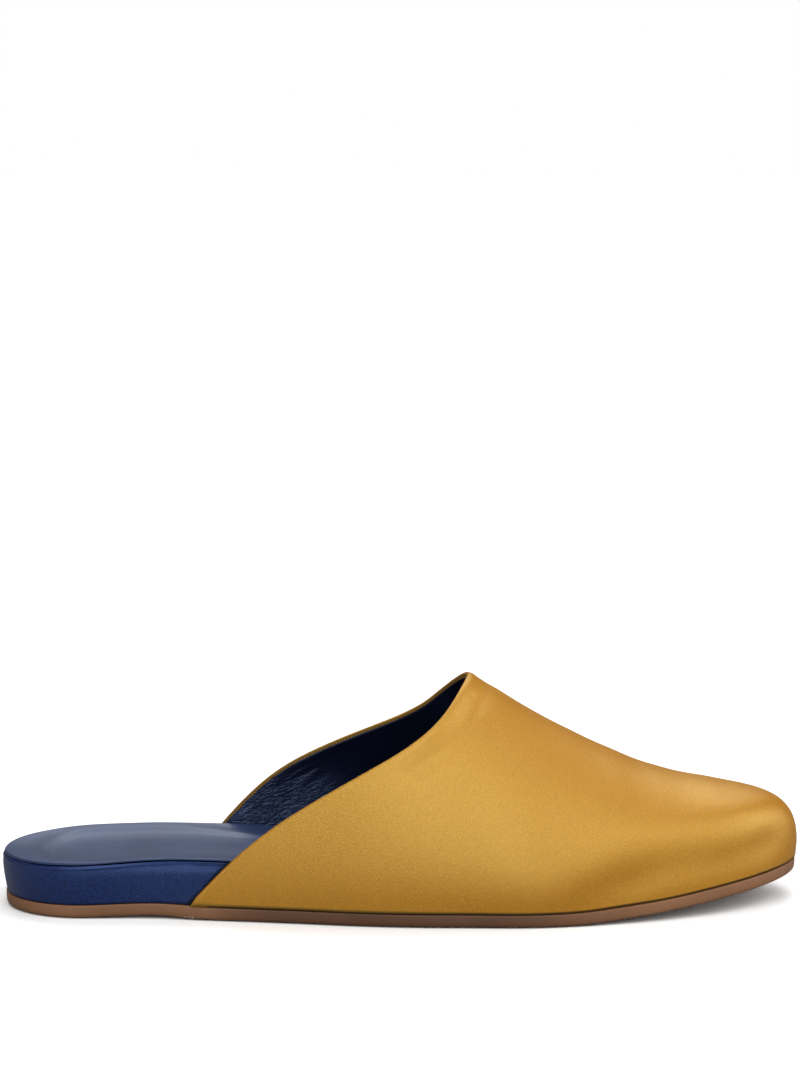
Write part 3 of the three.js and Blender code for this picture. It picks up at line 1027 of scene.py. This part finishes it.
def soft_ramp(tree, value, span, first, last):
    """first before the span, last past it, and a soft change between"""
    ramp = add_node(tree, "ShaderNodeMapRange", interpolation_type="SMOOTHSTEP")
    labels = ("From Min", "From Max", "To Min", "To Max")
    for label, number in zip(labels, (*span, first, last)):
        ramp.inputs[label].default_value = number
    tree.links.new(value, ramp.inputs["Value"])
    return ramp.outputs["Result"]


def make_satin_weave():
    """Fine slanted threads with a mottled grain between them. Threads and Grain are counts per metre, and
    Weave says how far the threads stand out."""
    tree, given, out = new_group(
        "satin_weave",
        {"Threads": SATIN_THREADS, "Grain": SATIN_GRAIN, "Weave": BLUE_TWILL},
        ("Height", "Mottle"),
    )
    slant = add_node(tree, "ShaderNodeMapping")
    slant.inputs["Rotation"].default_value = [math.radians(angle) for angle in TWILL_TURN]
    tree.links.new(given.outputs["Vector"], slant.inputs["Vector"])
    waves = add_node(tree, "ShaderNodeTexWave", wave_type="BANDS", bands_direction="X")
    waves.inputs["Distortion"].default_value = 1.6
    waves.inputs["Detail"].default_value = 2.0
    waves.inputs["Detail Scale"].default_value = 1.4
    tree.links.new(slant.outputs["Vector"], waves.inputs["Vector"])
    scale = math_node(tree, "MULTIPLY", given.outputs["Threads"], math.tau / WAVE_RATE)
    tree.links.new(scale, waves.inputs["Scale"])
    grain = add_node(tree, "ShaderNodeTexNoise")
    grain.inputs["Detail"].default_value = 3.0
    grain.inputs["Roughness"].default_value = 0.65
    tree.links.new(given.outputs["Vector"], grain.inputs["Vector"])
    tree.links.new(given.outputs["Grain"], grain.inputs["Scale"])
    threads = math_node(tree, "MULTIPLY", waves.outputs["Fac"], given.outputs["Weave"])
    tree.links.new(math_node(tree, "ADD", threads, grain.outputs["Fac"]), out.inputs["Height"])
    tree.links.new(grain.outputs["Fac"], out.inputs["Mottle"])
    return tree


def make_leather_grain():
    """Pores and fine creases of smooth leather. Pores is a count per metre."""
    tree, given, out = new_group("leather_grain", {"Pores": INSOLE_PORES}, ("Height", "Tone"))
    cells = add_node(tree, "ShaderNodeTexVoronoi", feature="DISTANCE_TO_EDGE")
    tree.links.new(given.outputs["Vector"], cells.inputs["Vector"])
    tree.links.new(given.outputs["Pores"], cells.inputs["Scale"])
    fine = add_node(tree, "ShaderNodeTexNoise")
    fine.inputs["Detail"].default_value = 4.0
    tree.links.new(given.outputs["Vector"], fine.inputs["Vector"])
    fine_scale = math_node(tree, "MULTIPLY", given.outputs["Pores"], FINE_GRAIN_SHARE)
    tree.links.new(fine_scale, fine.inputs["Scale"])
    edge = math_node(tree, "MINIMUM", cells.outputs["Distance"], PORE_EDGE)
    tree.links.new(math_node(tree, "ADD", edge, fine.outputs["Fac"]), out.inputs["Height"])
    broad = add_node(tree, "ShaderNodeTexNoise")
    broad.inputs["Detail"].default_value = 3.0
    tree.links.new(given.outputs["Vector"], broad.inputs["Vector"])
    broad_scale = math_node(tree, "MULTIPLY", given.outputs["Pores"], TONE_SHARE)
    tree.links.new(broad_scale, broad.inputs["Scale"])
    tree.links.new(broad.outputs["Fac"], out.inputs["Tone"])
    return tree


def make_leather_creases():
    """A net of fine creases, drawn out lengthwise. Creases is a count per metre across them."""
    tree, given, out = new_group("leather_creases", {"Creases": LINING_CREASES}, ("Height",))
    drawn = add_node(tree, "ShaderNodeMapping", vector_type="TEXTURE")
    drawn.inputs["Rotation"].default_value = (0.0, math.radians(CREASE_NET_TURN), 0.0)
    drawn.inputs["Scale"].default_value = CREASE_NET_STRETCH
    tree.links.new(given.outputs["Vector"], drawn.inputs["Vector"])
    bends = add_node(tree, "ShaderNodeTexNoise")
    bends.inputs["Scale"].default_value = CREASE_NET_BENDS
    tree.links.new(given.outputs["Vector"], bends.inputs["Vector"])
    bent = add_node(tree, "ShaderNodeVectorMath", operation="MULTIPLY_ADD")
    tree.links.new(bends.outputs["Color"], bent.inputs[0])
    bent.inputs[1].default_value = [CREASE_NET_BEND * MM] * 3
    tree.links.new(drawn.outputs["Vector"], bent.inputs[2])
    cells = add_node(tree, "ShaderNodeTexVoronoi", feature="DISTANCE_TO_EDGE")
    tree.links.new(bent.outputs["Vector"], cells.inputs["Vector"])
    tree.links.new(given.outputs["Creases"], cells.inputs["Scale"])
    edge = math_node(tree, "MINIMUM", cells.outputs["Distance"], CREASE_NET_EDGE)
    tree.links.new(edge, out.inputs["Height"])
    return tree


def gold_satin(weave):
    """Gold cloth whose twill shows most by the wings, dull and darkened to brown by painted shade where it is
    turned in
    """
    finish = Finish("gold_satin", IOR=2.0, Specular_IOR_Level=1.0, Specular_Tint=GOLD_GLEAM)
    place = finish.object_place()
    threads = finish.group(weave, place, Threads=SATIN_THREADS, Grain=SATIN_GRAIN)
    along = finish.axes(place)["X"]
    twill = finish.fade(along, GOLD_TWILL_SPAN, GOLD_TWILL_BY_WING, GOLD_TWILL_BY_TOE)
    finish.link(twill, threads.inputs["Weave"])
    colour = finish.shades(threads.outputs["Mottle"], GOLD_SHADES)
    turned_in_shade = finish.mark("turned_edge_shade")
    roughness = soft_ramp(finish.tree, turned_in_shade, (0.0, 1.0), GOLD_ROUGHNESS, PRESSED_ROUGHNESS)
    # Where the edge turns in, the satin is darkened to brown as painted shade
    finish.feed("Base Color", finish.mix_colour(turned_in_shade, colour, GOLD_EDGE_SHADE))
    finish.feed("Roughness", roughness)
    finish.feed("Normal", finish.bump(threads.outputs["Height"], strength=0.8, distance=0.12))
    return finish.material


def blue_satin(weave):
    """Blue cloth with a dull line of painted shadow just outside the wings"""
    finish = Finish("blue_satin", IOR=1.6, Specular_IOR_Level=0.8, Specular_Tint=BLUE_GLEAM)
    place = finish.object_place()
    threads = finish.group(weave, place, Threads=SATIN_THREADS, Grain=SATIN_GRAIN, Weave=BLUE_TWILL)
    colour = finish.shades(threads.outputs["Mottle"], BLUE_SHADES)
    wing_shadow = finish.mark("wing_shade")
    roughness = soft_ramp(finish.tree, wing_shadow, (0.0, 1.0), BLUE_ROUGHNESS, PRESSED_ROUGHNESS)
    # The line just outside the wings is darkened as painted shadow
    finish.feed("Base Color", finish.mix_colour(wing_shadow, colour, BLUE_WING_SHADOW))
    finish.feed("Roughness", roughness)
    finish.feed("Normal", finish.bump(threads.outputs["Height"], strength=0.6, distance=0.1))
    return finish.material


def insole_navy(grain):
    """Smooth navy leather"""
    finish = Finish("insole_navy", Roughness=0.37, Specular_Tint=INSOLE_GLEAM)
    pores = finish.group(grain, finish.object_place(), Pores=INSOLE_PORES)
    finish.feed("Base Color", finish.shades(pores.outputs["Tone"], INSOLE_SHADES))
    finish.feed("Normal", finish.bump(pores.outputs["Height"], strength=0.3, distance=0.06))
    return finish.material


def lining_navy(grain, creases):
    """Darker navy leather, creased where the lining's mark says so, with painted light, a paler navy, on
    those creases
    """
    finish = Finish("lining_navy", Roughness=0.3, IOR=1.6, Specular_Tint=LINING_GLEAM)
    place = finish.object_place()
    pores = finish.group(grain, place, Pores=LINING_PORES)
    colour = finish.shades(pores.outputs["Tone"], LINING_SHADES)
    crumpled_and_lit = finish.mark("creasing_and_light")
    # A paler navy, painted light on the creases, mottled by the leather's tone
    crease_light = math_node(finish.tree, "MULTIPLY", crumpled_and_lit, pores.outputs["Tone"])
    finish.feed("Base Color", finish.mix_colour(crease_light, colour, LINING_CREASE_LIGHT))
    folds = finish.group(creases, place, Creases=LINING_CREASES).outputs["Height"]
    height = math_node(finish.tree, "MULTIPLY", folds, crumpled_and_lit)
    smooth = finish.bump(pores.outputs["Height"], strength=0.25, distance=0.05)
    finish.feed("Normal", finish.bump(height, strength=1.0, distance=1.5, normal=smooth))
    return finish.material


def nicks(finish, place, axes):
    """Where a few nicks show pale leather, low on the outer side where the wing begins"""
    spots = finish.node("ShaderNodeTexNoise")
    spots.inputs["Scale"].default_value = NICK_SPOTS
    finish.link(place, spots.inputs["Vector"])
    mask = soft_ramp(finish.tree, spots.outputs["Fac"], NICK_EDGE, 0.0, NICK_STRENGTH)
    limits = (
        finish.fade(axes["X"], NICKS_START, 0.0, 1.0),
        finish.fade(axes["X"], NICKS_END, 1.0, 0.0),
        finish.fade(axes["Z"], NICKS_TOP, 1.0, 0.0),
        finish.fade(axes["Y"], NICKS_ACROSS, 1.0, 0.0),
    )
    for limit in limits:
        mask = math_node(finish.tree, "MULTIPLY", mask, limit)
    return mask


def sole_leather(grain):
    """Brown leather with painted shade darkening the waist and under the ball, and a few nicks"""
    finish = Finish("sole_leather", Roughness=0.5)
    place = finish.object_place()
    axes = finish.axes(place)
    pores = finish.group(grain, place, Pores=SOLE_PORES)
    colour = finish.shades(pores.outputs["Tone"], SOLE_SHADES)
    # The sole's middle is darkened as painted shade
    past_heel = finish.fade(axes["X"], SOLE_SHADE_START, 0.0, SOLE_SHADE_DEPTH)
    before_toe = finish.fade(axes["X"], SOLE_SHADE_END, 1.0, 0.0)
    sole_shade = math_node(finish.tree, "MULTIPLY", past_heel, before_toe)
    shaded = finish.mix_colour(sole_shade, colour, SOLE_PAINTED_SHADE)
    finish.feed("Base Color", finish.mix_colour(nicks(finish, place, axes), shaded, SOLE_NICKED))
    finish.feed("Normal", finish.bump(pores.outputs["Height"], strength=0.3, distance=0.06))
    return finish.material


def paint(obj, material):
    obj.data.materials.clear()
    obj.data.materials.append(material)


# Studio


def way_to(azimuth, elevation):
    """The way from the slipper to a place round it, with azimuth 0 on the camera's side"""
    turn, rise = math.radians(azimuth), math.radians(elevation)
    return Vector((math.sin(turn) * math.cos(rise), -math.cos(turn) * math.cos(rise), math.sin(rise)))


def place_facing(obj, place, way):
    """Puts a camera or light at a place, looking that way"""
    obj.location = place
    obj.rotation_mode = "QUATERNION"
    obj.rotation_quaternion = way.to_track_quat("-Z", "Y")
    bpy.context.scene.collection.objects.link(obj)


def make_camera():
    data = bpy.data.cameras.new("photo_camera")
    data.sensor_width = SENSOR
    data.lens = CAMERA_FOCAL_SHARE * SENSOR
    data.clip_start = CAMERA_NEAR
    data.clip_end = CAMERA_FAR
    camera = bpy.data.objects.new("photo_camera", data)
    back = way_to(CAMERA_AZIMUTH, CAMERA_ELEVATION)
    place_facing(camera, CAMERA_TARGET + back * CAMERA_DISTANCE, -back)
    bpy.context.scene.camera = camera


def make_floor():
    """White to the camera, and a quieter grey for the light that it throws back up"""
    bm = bmesh.new()
    bmesh.ops.create_grid(bm, x_segments=1, y_segments=1, size=FLOOR_HALF)
    floor = piece_from(bm, "studio_floor")
    finish = Finish("studio_floor")
    seen = finish.node("ShaderNodeMixShader")
    finish.link(finish.node("ShaderNodeLightPath").outputs["Is Camera Ray"], seen.inputs["Fac"])
    for socket, level in zip(seen.inputs[1:], (FLOOR_BOUNCE, FLOOR_SEEN)):
        diffuse = finish.node("ShaderNodeBsdfDiffuse")
        diffuse.inputs["Color"].default_value = (level, level, level, 1.0)
        finish.link(diffuse.outputs["BSDF"], socket)
    finish.link(seen.outputs["Shader"], finish.tree.nodes["Material Output"].inputs["Surface"])
    paint(floor, finish.material)


def make_broad_light(name, azimuth, elevation, spread, strength):
    data = bpy.data.lights.new(name, "SUN")
    data.angle = math.radians(spread)
    data.energy = strength
    place = way_to(azimuth, elevation)
    place_facing(bpy.data.objects.new(name, data), place, -place)


def make_world():
    """White to the camera, and for light a paler front and a quieter back that fade out overhead"""
    world = bpy.data.worlds.new("white_studio")
    world.use_nodes = True
    tree = world.node_tree
    background = tree.nodes["Background"]
    way = add_node(tree, "ShaderNodeSeparateXYZ")
    tree.links.new(add_node(tree, "ShaderNodeTexCoord").outputs["Generated"], way.inputs[0])
    side = soft_ramp(tree, way.outputs["Y"], WORLD_TURN, WORLD_FRONT, WORLD_BEHIND)
    below = soft_ramp(tree, way.outputs["Z"], WORLD_TOP, 1.0, 0.0)
    light = math_node(tree, "MULTIPLY", side, below)
    seen = add_node(tree, "ShaderNodeLightPath").outputs["Is Camera Ray"]
    tree.links.new(math_node(tree, "MAXIMUM", light, seen), background.inputs["Strength"])
    background.inputs["Color"].default_value = (1.0, 1.0, 1.0, 1.0)
    bpy.context.scene.world = world


def make_studio():
    make_camera()
    make_floor()
    make_world()
    for name, numbers in BROAD_LIGHTS.items():
        make_broad_light(name, *numbers)
    bpy.context.scene.view_settings.view_transform = "Standard"


def build():
    make_studio()
    weave = make_satin_weave()
    grain = make_leather_grain()
    gold = gold_satin(weave)
    blue = blue_satin(weave)
    lining = lining_navy(grain, make_leather_creases())
    insole = insole_navy(grain)
    sole = sole_leather(grain)

    base = outer_skin()
    refine_collar(base)
    skin = subdivided(base, "skin", SKIN_LEVELS)
    ease_collar(skin)

    pieces = (
        (build_upper_satin(skin), gold, "gold_satin", "upper"),
        (build_upper_lining(skin), lining, "navy_leather", "upper"),
        (build_hem_stitches(skin), gold, "gold_satin", "upper"),
        (build_footbed_satin(Rim(skin)), blue, "blue_satin", "footbed"),
        (build_insole_leather(), insole, "navy_leather", "insole"),
        (build_outsole_leather(), sole, "sole_leather", "outsole"),
    )
    skin.free()
    for obj, material, slot, node in pieces:
        paint(obj, material)
        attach(obj, "root")
        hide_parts(node)


build()
